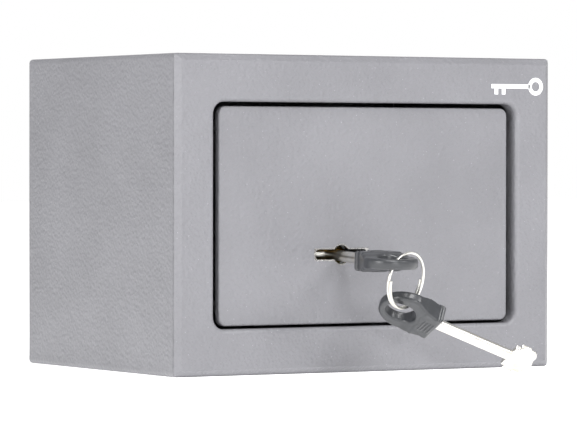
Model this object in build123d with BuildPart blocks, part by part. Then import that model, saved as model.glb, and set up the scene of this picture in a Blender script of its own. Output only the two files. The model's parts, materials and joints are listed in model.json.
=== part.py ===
from build123d import *
import math
import os

# A small key-operated safe: a welded steel cabinet, a flush door on hidden hinges,
# a lever lock that throws two round bolts, and two keys on a split ring.
# Frame: X to the right, Y from the door to the rear, Z up.
# The origin is the middle of the cabinet's underside. Millimetres.

# ---- cabinet
cabinet_w, cabinet_h, cabinet_d = 195.0, 140.0, 140.0
sheet = 1.5
wrap_bend_r = 2.0
bevel = 2.8
front_y, rear_y = -cabinet_d / 2, cabinet_d / 2
wrap_front_y = front_y + bevel
anchor_r = 5.0
anchor_spacing = 100.0
anchor_z = 70.0
rear_flange = 8.0
seam = 0.1
mat_t = 2.0

# ---- opening in the front frame
open_w, open_h, open_z = 157.0, 98.9, 69.75
open_r, lip_r = 5.5, 2.0
lip_back_y = front_y + 8.0

# ---- door
door_w, door_h, door_z = 150.0, 95.7, 69.45
door_t, door_r, door_edge_r = 3.0, 3.5, 0.8
door_front_y = front_y + 2.5
door_back_y = door_front_y + door_t

# ---- hinge
pivot_x, pivot_y = -68.0, -60.0
pin_r, pin_head_r, pin_head_t, running = 2.5, 2.8, 1.6, 0.06
strip_w, strip_t, tab_t = 10.0, 1.5, 2.5
tab_depth = 9.0
hinge_low_z, hinge_high_z = 30.0, 108.5
lug_t, lug_gap = 3.0, 0.3
lug_eye_r, lug_arm_y = 4.2, -46.5
lug_foot_t, lug_foot_h = 2.0, 16.0

# ---- lock
key_x, key_z = -12.7, 52.2
keyhole_r, slot_w, slot_h = 4.2, 27.0, 4.6
case_left, case_right, case_low, case_high = -33.5, 11.5, 36.5, 91.5
case_back_y, cover_t = -41.5, 1.5
lever_count, lever_t, lever_pitch, lever_front_y = 5, 1.2, 1.5, -57.6
lever_pivot_x, lever_pivot_z, lever_post_r = -27.0, 80.0, 2.0
belly_r = 10.9
cam_r, cam_front_y, cam_back_y, cam_floor_t = 13.0, -49.4, -44.9, 0.9
crank_r, crank_pin_r = 4.5, 1.75
bolt_throw = 9.0
slide_front_y, slide_t = -44.7, 2.0
stump_x, stump_z, stump_r = -8.0, 72.0, 1.75

# ---- bolt work
bolt_r, bolt_y, bolt_end_x = 5.0, -56.3, 76.5
bolt_heights = (48.0, 92.0)
bar_left, bar_right, bar_low, bar_high, bar_t = 18.0, 44.0, 36.0, 104.0, 2.0
guide_x, guide_t = 62.0, 2.0
post_x, post_heights, post_r, post_shoulder_r = 31.0, (41.0, 99.0), 2.0, 3.5
bar_back_y = slide_front_y + slide_t + bar_t

# ---- keys
key_droop = 3.0
key_len, bow_len, head_r, bow_collar_w = 74.0, 27.0, 12.5, 17.6
shaft_r, bit_len, bit_span, bit_t = 2.4, 11.0, 20.5, 2.4
collar_t, collar_len, shoulder_t, head_t, rim_t = 8.6, 8.0, 7.4, 5.1, 4.4
ear_len, ear_rise, wedge_x = 1.6, 1.2, 1.0
hole_long, hole_wide, hole_from_end = 13.3, 13.0, 3.2
bow_stand_off = 40.0

# ---- split ring
ring_centre = (-4.68, -108.06, 41.69)
ring_heading, ring_lean = 23.2, 11.4
ring_inner_r, ring_outer_r, ring_w = 11.3, 12.8, 2.2

# ---- spare key, lying against the floor from the ring
spare_head = (0.14, -101.38, 28.25)
spare_heading, spare_pitch, spare_roll = -16.4, -22.9, 151.1


def save(builder, label):
    builder.part.label = label
    export_step(builder.part, f"parts/{label}.step")


def facing(y):
    """Plane parallel to the door at depth y, drawn in X and Z, extruded towards the front."""
    return Plane.XZ.offset(-y)


def behind(y):
    """Plane parallel to the door at depth y, drawn in -X and Z, extruded towards the rear."""
    return Plane(origin=(0, y, 0), x_dir=(-1, 0, 0), z_dir=(0, 1, 0))


os.makedirs("parts", exist_ok=True)

# ================================================================ cabinet

# Folded sheet that makes the top, both sides and the base.
with BuildPart() as outer_wrap:
    with BuildSketch(facing(rear_y)):
        with Locations((0, cabinet_h / 2)):
            RectangleRounded(cabinet_w, cabinet_h, wrap_bend_r)
            RectangleRounded(cabinet_w - 2 * sheet, cabinet_h - 2 * sheet, 0.5, mode=Mode.SUBTRACT)
    extrude(amount=rear_y - wrap_front_y)
    with BuildSketch(Plane.XY):
        with GridLocations(anchor_spacing, 0, 2, 1):
            Circle(anchor_r)
    extrude(amount=sheet, mode=Mode.SUBTRACT)
save(outer_wrap, "outer_wrap")

# Pressed front frame: bevelled edge, nested flange, and a rolled lip round the door.
nest_w, nest_h = cabinet_w - 2 * sheet, cabinet_h - 2 * sheet
with BuildPart() as front_frame:
    with BuildSketch(facing(wrap_front_y)):
        with Locations((0, cabinet_h / 2)):
            Rectangle(cabinet_w - 2 * seam, cabinet_h - 2 * seam)
    extrude(amount=bevel, taper=45)
    with BuildSketch(facing(wrap_front_y + 1)):
        with Locations((0, cabinet_h / 2)):
            RectangleRounded(cabinet_w, cabinet_h, wrap_bend_r)
    extrude(amount=bevel + 2, mode=Mode.INTERSECT)
    with BuildSketch(facing(lip_back_y)):
        with Locations((0, cabinet_h / 2)):
            RectangleRounded(nest_w, nest_h, 0.5)
    extrude(amount=lip_back_y - wrap_front_y)
    with BuildSketch(facing(lip_back_y)):
        with Locations((0, cabinet_h / 2)):
            Rectangle(nest_w - 2 * sheet, nest_h - 2 * sheet)
        with Locations((0, open_z)):
            RectangleRounded(open_w + 2 * sheet, open_h + 2 * sheet, open_r + sheet, mode=Mode.SUBTRACT)
    extrude(amount=lip_back_y - front_y - sheet, mode=Mode.SUBTRACT)
    with BuildSketch(facing(lip_back_y)):
        with Locations((0, open_z)):
            RectangleRounded(open_w, open_h, open_r)
    extrude(amount=lip_back_y - front_y, mode=Mode.SUBTRACT)
    mouth = front_frame.edges().filter_by_position(Axis.Y, front_y - 0.01, front_y + 0.01)
    fillet(mouth.filter_by(lambda e: abs(e.center().X) < open_w / 2 + 1
                           and abs(e.center().Z - open_z) < open_h / 2 + 1), lip_r)
save(front_frame, "front_frame")

# Rear panel: a shallow pan nested in the wrap, with two holes for wall anchors.
with BuildPart() as rear_panel:
    with BuildSketch(facing(rear_y)):
        with Locations((0, cabinet_h / 2)):
            RectangleRounded(nest_w, nest_h, 0.5)
        with Locations((0, anchor_z)):
            with GridLocations(anchor_spacing, 0, 2, 1):
                Circle(anchor_r, mode=Mode.SUBTRACT)
    extrude(amount=sheet)
    with BuildSketch(facing(rear_y - sheet)):
        with Locations((0, cabinet_h / 2)):
            RectangleRounded(nest_w, nest_h, 0.5)
            Rectangle(nest_w - 2 * sheet, nest_h - 2 * sheet, mode=Mode.SUBTRACT)
    extrude(amount=rear_flange)
save(rear_panel, "rear_panel")

# Foam mat on the cabinet floor, cut out round the base anchors.
mat_front_y, mat_rear_y = -58.0, 58.0
with BuildPart() as floor_mat:
    with BuildSketch(Plane.XY.offset(sheet)):
        with Locations((0, (mat_front_y + mat_rear_y) / 2)):
            RectangleRounded(nest_w - 4, mat_rear_y - mat_front_y, 3)
        with GridLocations(anchor_spacing, 0, 2, 1):
            Circle(anchor_r + 3, mode=Mode.SUBTRACT)
    extrude(amount=mat_t)
save(floor_mat, "floor_mat")

# Hinge lugs: an eye on the pivot, a neck going back, an arm to the side wall and a welding foot.
inner_wall_x = -nest_w / 2
lug_levels = {"upper_hinge_lug": hinge_high_z + lug_gap, "lower_hinge_lug": hinge_low_z - lug_gap - lug_t}
for lug_name, lug_z in lug_levels.items():
    with BuildPart() as hinge_lug:
        with BuildSketch(Plane.XY.offset(lug_z)):
            with Locations((pivot_x, pivot_y)):
                Circle(lug_eye_r)
            with BuildLine():
                Polyline((pivot_x - 1.5, pivot_y), (pivot_x - 1.5, lug_arm_y - 2.5),
                         (inner_wall_x, lug_arm_y - 2.5), (inner_wall_x, lug_arm_y + 2.5),
                         (pivot_x + lug_eye_r, lug_arm_y + 2.5), (pivot_x + lug_eye_r, pivot_y), close=True)
            make_face()
            with Locations((pivot_x, pivot_y)):
                Circle(pin_r + running, mode=Mode.SUBTRACT)
        extrude(amount=lug_t)
        with BuildSketch(Plane.XY.offset(lug_z + lug_t / 2 - lug_foot_h / 2)):
            with Locations((inner_wall_x + lug_foot_t / 2, lug_arm_y + 4)):
                Rectangle(lug_foot_t, 16)
        extrude(amount=lug_foot_h)
    save(hinge_lug, lug_name)

# ================================================================ door

with BuildPart() as door_plate:
    with BuildSketch(facing(door_back_y)):
        with Locations((0, door_z)):
            RectangleRounded(door_w, door_h, door_r)
    extrude(amount=door_t)
    fillet(door_plate.faces().sort_by(Axis.Y)[0].edges(), door_edge_r)
    with BuildSketch(facing(door_back_y)):
        with Locations((key_x, key_z)):
            Circle(keyhole_r)
            SlotOverall(slot_w, slot_h)
    extrude(amount=door_t, mode=Mode.SUBTRACT)
save(door_plate, "door_plate")

# Hinge strip: a channel welded to the door's back, with a pin tab at each end.
strip_h = hinge_high_z - hinge_low_z
with BuildPart() as hinge_strip:
    with BuildSketch(behind(door_back_y)):
        with Locations((-pivot_x, hinge_low_z + strip_h / 2)):
            Rectangle(strip_w, strip_h)
    extrude(amount=strip_t)
    for tab_z in (hinge_low_z, hinge_high_z - tab_t):
        with BuildSketch(Plane.XY.offset(tab_z)):
            with Locations((pivot_x, door_back_y + tab_depth / 2)):
                Rectangle(strip_w, tab_depth)
            with Locations((pivot_x, pivot_y)):
                Circle(pin_r, mode=Mode.SUBTRACT)
        extrude(amount=tab_t)
save(hinge_strip, "hinge_strip")

# Headed hinge pins, pressed into the tabs and running in the lugs.
pin_reach = tab_t + lug_gap + lug_t + 0.8
hinge_pins = {"upper_hinge_pin": (hinge_high_z - tab_t, 1), "lower_hinge_pin": (hinge_low_z + tab_t, -1)}
for pin_name, (tab_face_z, way) in hinge_pins.items():
    with BuildPart() as hinge_pin:
        with BuildSketch(Plane(origin=(pivot_x, pivot_y, tab_face_z), z_dir=(0, 0, way))):
            Circle(pin_r)
        extrude(amount=pin_reach)
        with BuildSketch(Plane(origin=(pivot_x, pivot_y, tab_face_z), z_dir=(0, 0, -way))):
            Circle(pin_head_r)
        extrude(amount=pin_head_t)
        chamfer(hinge_pin.faces().sort_by(Axis.Z)[-1 if way > 0 else 0].edges(), 0.5)
    save(hinge_pin, pin_name)

# Bolt guide: an angle on the door's back that carries both bolts near the edge.
guide_h = bar_high - bar_low
with BuildPart() as bolt_guide:
    with BuildSketch(behind(door_back_y)):
        with Locations((-(guide_x + 5), (bar_low + bar_high) / 2)):
            Rectangle(10, guide_h)
    extrude(amount=guide_t)
    with BuildSketch(Plane.YZ.offset(guide_x)):
        with Locations(((door_back_y + bolt_y + 8) / 2, (bar_low + bar_high) / 2)):
            Rectangle(bolt_y + 8 - door_back_y, guide_h)
        for height in bolt_heights:
            with Locations((bolt_y, height)):
                Circle(bolt_r + 0.2, mode=Mode.SUBTRACT)
    extrude(amount=guide_t)
save(bolt_guide, "bolt_guide")

# Lock case: a tray on the door's back, with the keyhole in its floor and a gap for the lock slide.
case_w, case_h = case_right - case_left, case_high - case_low
case_x, case_z = (case_left + case_right) / 2, (case_low + case_high) / 2
screw_span_w, screw_span_h = case_w - 2 * sheet - 4, case_h - 2 * sheet - 4
ear_r, ear_hole_r = 5.0, 2.1
ear_points = [(case_left - 4.5, 44), (case_left - 4.5, 84), (case_right + 4.5, 84)]
with BuildPart() as lock_case:
    with BuildSketch(behind(door_back_y)):
        with Locations((-case_x, case_z)):
            RectangleRounded(case_w, case_h, 1.5)
        for ear_x, ear_z in ear_points:
            with Locations((-ear_x, ear_z)):
                Circle(ear_r)
                Circle(ear_hole_r, mode=Mode.SUBTRACT)
    extrude(amount=sheet)
    with BuildSketch(behind(door_back_y + sheet)):
        with Locations((-case_x, case_z)):
            RectangleRounded(case_w, case_h, 1.5)
            Rectangle(case_w - 2 * sheet, case_h - 2 * sheet, mode=Mode.SUBTRACT)
    extrude(amount=case_back_y - door_back_y - sheet)
    with BuildSketch(behind(door_back_y)):
        with Locations((-key_x, key_z)):
            Circle(keyhole_r)
            SlotOverall(slot_w, slot_h)
    extrude(amount=sheet, mode=Mode.SUBTRACT)
    with BuildSketch(Plane.YZ.offset(case_right - 2 * sheet)):
        with Locations(((slide_front_y - 0.3 + case_back_y) / 2, 60)):
            Rectangle(case_back_y - slide_front_y + 0.3, 27)
    extrude(amount=3 * sheet, mode=Mode.SUBTRACT)
    with BuildSketch(behind(door_back_y + sheet)):
        with Locations((-case_x, case_z)):
            with GridLocations(screw_span_w, screw_span_h, 2, 2):
                Circle(2.5)
                Circle(1.25, mode=Mode.SUBTRACT)
    extrude(amount=case_back_y - door_back_y - sheet)
save(lock_case, "lock_case")

# Studs welded to the door and the nuts that hold the lock case on them.
with BuildPart() as lock_studs:
    with BuildSketch(behind(door_back_y)):
        for ear_x, ear_z in ear_points:
            with Locations((-ear_x, ear_z)):
                Circle(2.0)
    extrude(amount=8)
save(lock_studs, "lock_studs")

with BuildPart() as lock_nuts:
    with BuildSketch(behind(door_back_y + sheet)):
        for ear_x, ear_z in ear_points:
            with Locations((-ear_x, ear_z)):
                RegularPolygon(4.0, 6)
                Circle(2.0, mode=Mode.SUBTRACT)
    extrude(amount=3.2)
    chamfer(lock_nuts.faces().group_by(Axis.Y)[-1].edges().filter_by(GeomType.LINE), 0.4)
save(lock_nuts, "lock_nuts")

with BuildPart() as lock_cover:
    with BuildSketch(behind(case_back_y)):
        with Locations((-case_x, case_z)):
            RectangleRounded(case_w, case_h, 1.5)
            with GridLocations(screw_span_w, screw_span_h, 2, 2):
                Circle(1.35, mode=Mode.SUBTRACT)
        with Locations((-lever_pivot_x, lever_pivot_z)):
            Circle(1.5, mode=Mode.SUBTRACT)
    extrude(amount=cover_t)
save(lock_cover, "lock_cover")

with BuildPart() as cover_screws:
    with BuildSketch(behind(case_back_y + cover_t)):
        with Locations((-case_x, case_z)):
            with GridLocations(screw_span_w, screw_span_h, 2, 2):
                Circle(2.6)
    extrude(amount=1.6)
    fillet(cover_screws.faces().group_by(Axis.Y)[-1].edges(), 0.7)
    with BuildSketch(behind(case_back_y - 6)):
        with Locations((-case_x, case_z)):
            with GridLocations(screw_span_w, screw_span_h, 2, 2):
                Circle(1.25)
    extrude(amount=6 + cover_t)
    with BuildSketch(behind(case_back_y + cover_t + 0.8)):
        with Locations((-case_x, case_z)):
            with GridLocations(screw_span_w, screw_span_h, 2, 2):
                Rectangle(3.2, 0.7)
                Rectangle(0.7, 3.2)
    extrude(amount=1.0, mode=Mode.SUBTRACT)
save(cover_screws, "cover_screws")

# Plate across the case whose round hole carries the rim of the cam.
bearing_high = 66.5
with BuildPart() as cam_bearing:
    with BuildSketch(behind(cam_front_y)):
        with Locations((-case_x, (case_low + sheet + bearing_high) / 2)):
            Rectangle(case_w - 2 * sheet, bearing_high - case_low - sheet)
        with Locations((-key_x, key_z)):
            Circle(cam_r + 0.05, mode=Mode.SUBTRACT)
        with Locations((-case_x, case_z)):
            with GridLocations(screw_span_w, screw_span_h, 2, 2):
                Rectangle(5.2, 5.2, mode=Mode.SUBTRACT)
    extrude(amount=cam_back_y - cam_front_y - 0.3)
save(cam_bearing, "cam_bearing")

# Post that the levers turn on, riveted through the lock cover.
with BuildPart() as lever_post:
    with BuildSketch(behind(door_back_y + sheet)):
        with Locations((-lever_pivot_x, lever_pivot_z)):
            Circle(lever_post_r)
    extrude(amount=case_back_y - door_back_y - sheet)
    with BuildSketch(behind(case_back_y)):
        with Locations((-lever_pivot_x, lever_pivot_z)):
            Circle(1.5)
    extrude(amount=cover_t + 0.6)
save(lever_post, "lever_post")

# Shouldered posts that guide the bolt bar, and the clips on their ends.
post_shoulder_y = slide_front_y + slide_t - 0.2
with BuildPart() as guide_posts:
    for height in post_heights:
        with BuildSketch(behind(door_back_y)):
            with Locations((-post_x, height)):
                Circle(post_shoulder_r)
        extrude(amount=post_shoulder_y - door_back_y)
        with BuildSketch(behind(post_shoulder_y)):
            with Locations((-post_x, height)):
                Circle(post_r)
        extrude(amount=bar_back_y + 2.0 - post_shoulder_y)
save(guide_posts, "guide_posts")

with BuildPart() as post_clips:
    with BuildSketch(behind(bar_back_y + 0.3)):
        for height in post_heights:
            with Locations((-post_x, height)):
                Circle(4.0)
                Circle(post_r, mode=Mode.SUBTRACT)
            with Locations((-post_x, height - 3.0)):
                Rectangle(2.6, 4.4, mode=Mode.SUBTRACT)
    extrude(amount=0.8)
save(post_clips, "post_clips")

# ================================================================ lock movement

# Cam: a disc slotted for the key's bits; a crank pin on its back drives the slide.
with BuildPart() as cam:
    with BuildSketch(behind(cam_front_y)):
        with Locations((-key_x, key_z)):
            Circle(cam_r)
    extrude(amount=cam_back_y - cam_front_y)
    with BuildSketch(behind(cam_front_y)):
        with Locations((-key_x, key_z)):
            Rectangle(bit_span + 1.0, bit_t + 1.3)
            Circle(shaft_r + 0.5)
    extrude(amount=cam_back_y - cam_front_y - cam_floor_t, mode=Mode.SUBTRACT)
save(cam, "cam")

with BuildPart() as crank_pin:
    with BuildSketch(behind(cam_back_y)):
        with Locations((-(key_x - crank_r), key_z)):
            Circle(crank_pin_r)
    extrude(amount=slide_t + 0.9)
save(crank_pin, "crank_pin")

# Levers: identical blanks with a belly over the key and a window for the stump.
window_left, window_right = stump_x - stump_r - 1.2, stump_x + bolt_throw + stump_r + 0.6
window_low, window_high = stump_z - stump_r - 2.4, stump_z + stump_r + 0.4
lever_high, lever_low, lever_tip_x = 83.6, 61.5, 8.0
for index in range(lever_count):
    with BuildPart() as lever:
        with BuildSketch(facing(lever_front_y + index * lever_pitch + lever_t)):
            with BuildLine():
                FilletPolyline((lever_pivot_x - 4, lever_high), (lever_tip_x, lever_high),
                               (lever_tip_x, lever_low), (lever_pivot_x + 3, lever_low),
                               (lever_pivot_x - 4, lever_pivot_z - 5), radius=1.5, close=True)
            make_face()
            with Locations((key_x, key_z)):
                Circle(belly_r, mode=Mode.SUBTRACT)
            with Locations((lever_pivot_x, lever_pivot_z)):
                Circle(lever_post_r + running, mode=Mode.SUBTRACT)
            with Locations(((window_left + window_right) / 2, (window_low + window_high) / 2)):
                Rectangle(window_right - window_left, window_high - window_low, mode=Mode.SUBTRACT)
        extrude(amount=lever_t)
    save(lever, f"lever_{index + 1}")

# Leaf springs, one over each lever, between its top edge and the wall of the case.
spring_t, spring_high = 0.5, case_high - sheet - 0.5
with BuildPart() as lever_springs:
    for index in range(lever_count):
        with BuildSketch(facing(lever_front_y + index * lever_pitch + lever_t)):
            with BuildLine():
                Polyline((-24, spring_high), (-24, spring_high - spring_t), (-2, lever_high + spring_t),
                         (2, lever_high), (6, lever_high), (6, lever_high + spring_t),
                         (2.2, lever_high + spring_t), (-2, lever_high + 2 * spring_t),
                         (-22, spring_high), close=True)
            make_face()
        extrude(amount=lever_t)
save(lever_springs, "lever_springs")

# Lock slide: a flat plate with the crank slot, an arm out of the case and two rivet holes.
slide_left, slide_right, slide_low, slide_high = -24.0, 34.0, 44.0, 76.0
shoulder_x, shoulder_run = 0.4, 2.0
arm_low, arm_high = 48.0, 72.0
rivet_x, rivet_heights, rivet_r = 28.0, (53.0, 67.0), 1.5
with BuildPart() as lock_slide:
    with BuildSketch(facing(slide_front_y + slide_t)):
        with BuildLine():
            Polyline((slide_left, slide_low), (shoulder_x - shoulder_run, slide_low),
                     (shoulder_x, arm_low), (slide_right, arm_low),
                     (slide_right, arm_high), (shoulder_x, arm_high),
                     (shoulder_x - shoulder_run, slide_high), (slide_left, slide_high), close=True)
        make_face()
        with Locations((key_x - crank_r, key_z - crank_r / 2 - 0.1)):
            Rectangle(5.7, crank_r + 2 * crank_pin_r + 0.8, mode=Mode.SUBTRACT)
        with Locations((stump_x, stump_z)):
            Circle(stump_r, mode=Mode.SUBTRACT)
        for height in rivet_heights:
            with Locations((rivet_x, height)):
                Circle(rivet_r, mode=Mode.SUBTRACT)
    extrude(amount=slide_t)
save(lock_slide, "lock_slide")

with BuildPart() as lever_stump:
    with BuildSketch(facing(slide_front_y + slide_t)):
        with Locations((stump_x, stump_z)):
            Circle(stump_r)
    extrude(amount=slide_front_y + slide_t - lever_front_y + 0.6)
save(lever_stump, "lever_stump")

# ================================================================ bolt work

bar_front_y = slide_front_y + slide_t
flange_front_y = bolt_y - bolt_r - 1.5
with BuildPart() as bolt_bar:
    with BuildSketch(facing(bar_back_y)):
        with Locations(((bar_left + bar_right) / 2, (bar_low + bar_high) / 2)):
            RectangleRounded(bar_right - bar_left, bar_high - bar_low, 2)
            Rectangle((bar_right - bar_left) / 2, bar_high - bar_low, align=(Align.MIN, Align.CENTER))
        for height in post_heights:
            with Locations((post_x - bolt_throw / 2, height)):
                SlotOverall(bolt_throw + 2 * post_r + 0.6, 2 * post_r + 0.4, mode=Mode.SUBTRACT)
        for height in rivet_heights:
            with Locations((rivet_x, height)):
                Circle(rivet_r, mode=Mode.SUBTRACT)
    extrude(amount=bar_t)
    with BuildSketch(Plane.YZ.offset(bar_right - bar_t)):
        with Locations(((bar_back_y + flange_front_y) / 2, (bar_low + bar_high) / 2)):
            Rectangle(bar_back_y - flange_front_y, bar_high - bar_low)
        for height in bolt_heights:
            with Locations((bolt_y, height)):
                Circle(3.0, mode=Mode.SUBTRACT)
    extrude(amount=bar_t)
save(bolt_bar, "bolt_bar")

# Round bolts: a chamfered nose, a spigot through the bar and a riveted tail.
for bolt_name, height in zip(("lower_bolt", "upper_bolt"), bolt_heights):
    with BuildPart() as round_bolt:
        with BuildSketch(Plane.YZ.offset(bar_right)):
            with Locations((bolt_y, height)):
                Circle(bolt_r)
        extrude(amount=bolt_end_x - bar_right)
        chamfer(round_bolt.faces().sort_by(Axis.X)[-1].edges(), 1.0)
        with BuildSketch(Plane.YZ.offset(bar_right - bar_t)):
            with Locations((bolt_y, height)):
                Circle(3.0)
        extrude(amount=bar_t)
        with BuildSketch(Plane.YZ.offset(bar_right - bar_t - 1.2)):
            with Locations((bolt_y, height)):
                Circle(4.2)
        extrude(amount=1.2)
    save(round_bolt, bolt_name)

# Rivets that join the slide to the bar.
with BuildPart() as slide_rivets:
    for height in rivet_heights:
        with BuildSketch(behind(slide_front_y)):
            with Locations((-rivet_x, height)):
                Circle(rivet_r)
        extrude(amount=slide_t + bar_t)
        with BuildSketch(behind(bar_back_y)):
            with Locations((-rivet_x, height)):
                Circle(2.6)
        extrude(amount=1.1)
        with BuildSketch(behind(slide_front_y - 1.0)):
            with Locations((-rivet_x, height)):
                Circle(2.6)
        extrude(amount=1.0)
save(slide_rivets, "slide_rivets")

# ================================================================ keys and ring


def make_key(flat, prefix):
    """A double-bitted key. The plane's x runs from the middle of the round head to the tip."""
    collar_x = bow_len - head_r
    step_x, ear_x, side_y = collar_x - collar_len, collar_x - ear_len, bow_collar_w / 2
    tip_x = key_len - head_r
    bit_x = tip_x - bit_len
    across = Plane(origin=flat.origin, x_dir=flat.x_dir, z_dir=flat.y_dir)
    along = Plane(origin=flat.origin, x_dir=flat.y_dir, z_dir=flat.x_dir)
    with BuildPart() as bow:
        with BuildSketch(flat):
            Circle(head_r)
            with BuildLine():
                Polyline((wedge_x, head_r - 0.05), (ear_x, side_y), (ear_x, side_y + ear_rise),
                         (collar_x, side_y + ear_rise), (collar_x, -side_y - ear_rise),
                         (ear_x, -side_y - ear_rise), (ear_x, -side_y), (wedge_x, 0.05 - head_r), close=True)
            make_face()
        extrude(amount=collar_t / 2, both=True)
        with BuildSketch(across):
            with BuildLine():
                Polyline((-head_r, rim_t / 2), (wedge_x, head_t / 2), (step_x - 0.6, shoulder_t / 2),
                         (step_x, collar_t / 2), (collar_x, collar_t / 2), (collar_x, -collar_t / 2),
                         (step_x, -collar_t / 2), (step_x - 0.6, -shoulder_t / 2),
                         (wedge_x, -head_t / 2), (-head_r, -rim_t / 2), close=True)
            make_face()
        extrude(amount=2 * head_r, both=True, mode=Mode.INTERSECT)
        with BuildSketch(flat):
            with Locations((hole_from_end + hole_long / 2 - head_r, 0)):
                Ellipse(hole_long / 2, hole_wide / 2)
        extrude(amount=collar_t, both=True, mode=Mode.SUBTRACT)
        with BuildSketch(along.offset(collar_x - collar_len + 1)):
            Circle(shaft_r)
        extrude(amount=collar_len, mode=Mode.SUBTRACT)
    save(bow, f"{prefix}_bow")
    with BuildPart() as blade:
        with BuildSketch(along.offset(collar_x - collar_len + 1)):
            Circle(shaft_r)
        extrude(amount=tip_x - collar_x + collar_len - 1)
        chamfer(blade.faces().sort_by(Axis(flat.origin, flat.x_dir))[-1].edges(), 0.6)
        with BuildSketch(flat):
            for side in (1, -1):
                with BuildLine():
                    Polyline((bit_x, 0), (bit_x, 7.8 * side), (bit_x + 1.6, 7.8 * side),
                             (bit_x + 1.6, bit_span / 2 * side), (bit_x + 6.4, bit_span / 2 * side),
                             (bit_x + 6.4, 8.9 * side), (bit_x + 8.8, 8.9 * side),
                             (bit_x + 10.2, 7.4 * side), (bit_x + 10.2, 0), close=True)
                make_face()
        extrude(amount=bit_t / 2, both=True)
    save(blade, f"{prefix}_blade")


droop = math.radians(key_droop)
key_way = Vector(0, math.cos(droop), math.sin(droop))
lock_point = Vector(key_x, -54.0, key_z)
head_reach = bow_stand_off - door_front_y - 54.0
key_plane = Plane(origin=lock_point - key_way * head_reach, x_dir=key_way,
                  z_dir=(0, -math.sin(droop), math.cos(droop)))
make_key(key_plane, "key")

heading, pitch, roll = (math.radians(angle) for angle in (spare_heading, spare_pitch, spare_roll))
spare_way = Vector(math.cos(pitch) * math.cos(heading), math.cos(pitch) * math.sin(heading), math.sin(pitch))
level_across = Vector(0, 0, 1).cross(spare_way).normalized()
level_face = spare_way.cross(level_across)
spare_face = level_face * math.cos(roll) - level_across * math.sin(roll)
make_key(Plane(origin=spare_head, x_dir=spare_way, z_dir=spare_face), "spare_key")

# Split ring, as one band with the seam between its turns as a groove on the outside and inside.
ring_side = Vector(math.cos(math.radians(ring_heading)), math.sin(math.radians(ring_heading)), 0)
ring_face = Vector(ring_side.Y, -ring_side.X, 0)
lean = math.radians(ring_lean)
ring_up = Vector(0, 0, 1) * math.cos(lean) + ring_face * math.sin(lean)
ring_normal = ring_side.cross(ring_up)
ring_plane = Plane(origin=ring_centre, x_dir=ring_side, z_dir=ring_normal)
with BuildPart() as key_ring:
    with BuildSketch(ring_plane.offset(-ring_w / 2)):
        Circle(ring_outer_r)
        Circle(ring_inner_r, mode=Mode.SUBTRACT)
    extrude(amount=ring_w)
    fillet(key_ring.edges(), 0.45)
save(key_ring, "key_ring")
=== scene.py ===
"""Small key safe: paint, metal and plastic finishes and the fine pieces, built round the packed frame."""

import json
import math

import bmesh
import bpy
import numpy as np
from bpy.props import FloatProperty, FloatVectorProperty, IntProperty, PointerProperty
from mathutils import Matrix, Vector


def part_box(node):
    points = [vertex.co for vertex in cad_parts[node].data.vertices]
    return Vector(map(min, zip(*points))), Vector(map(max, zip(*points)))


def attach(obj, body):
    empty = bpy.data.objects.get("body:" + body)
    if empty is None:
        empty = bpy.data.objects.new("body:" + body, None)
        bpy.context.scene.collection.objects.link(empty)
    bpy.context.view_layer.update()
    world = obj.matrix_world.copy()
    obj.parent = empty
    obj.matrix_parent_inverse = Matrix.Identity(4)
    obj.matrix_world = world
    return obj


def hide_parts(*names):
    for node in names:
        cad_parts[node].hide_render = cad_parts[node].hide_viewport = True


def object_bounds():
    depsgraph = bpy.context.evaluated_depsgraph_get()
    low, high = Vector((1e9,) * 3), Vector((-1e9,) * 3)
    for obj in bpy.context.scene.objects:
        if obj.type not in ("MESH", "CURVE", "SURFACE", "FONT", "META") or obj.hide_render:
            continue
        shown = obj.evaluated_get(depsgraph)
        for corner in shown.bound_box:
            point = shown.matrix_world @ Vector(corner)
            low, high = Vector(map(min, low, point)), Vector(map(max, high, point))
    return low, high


bl_info = {
    "name": "Small key safe",
    "version": (1, 0, 0),
    "blender": (4, 5, 0),
    "location": "3D View > Sidebar > Safe",
    "description": "Builds the finishes, keys, ring and fixings of a small key safe",
    "category": "Object",
}

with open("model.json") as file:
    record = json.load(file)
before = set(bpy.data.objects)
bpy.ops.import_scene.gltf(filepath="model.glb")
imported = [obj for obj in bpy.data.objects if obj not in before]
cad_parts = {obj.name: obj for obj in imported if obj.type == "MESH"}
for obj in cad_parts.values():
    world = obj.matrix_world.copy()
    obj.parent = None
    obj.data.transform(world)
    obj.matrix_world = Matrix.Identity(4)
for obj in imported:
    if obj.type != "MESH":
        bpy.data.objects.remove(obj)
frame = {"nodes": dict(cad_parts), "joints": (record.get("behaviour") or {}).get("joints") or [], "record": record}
cad_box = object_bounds()

MM = 0.001
NODES = frame["nodes"]
BODY_OF = {node: body for body, nodes in frame["record"]["behaviour"]["bodies"].items() for node in nodes}
SLOT_OF = {name: node.data.materials[0].name for name, node in NODES.items()}

# ------------------------------------------------------------------ shader graph


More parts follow.
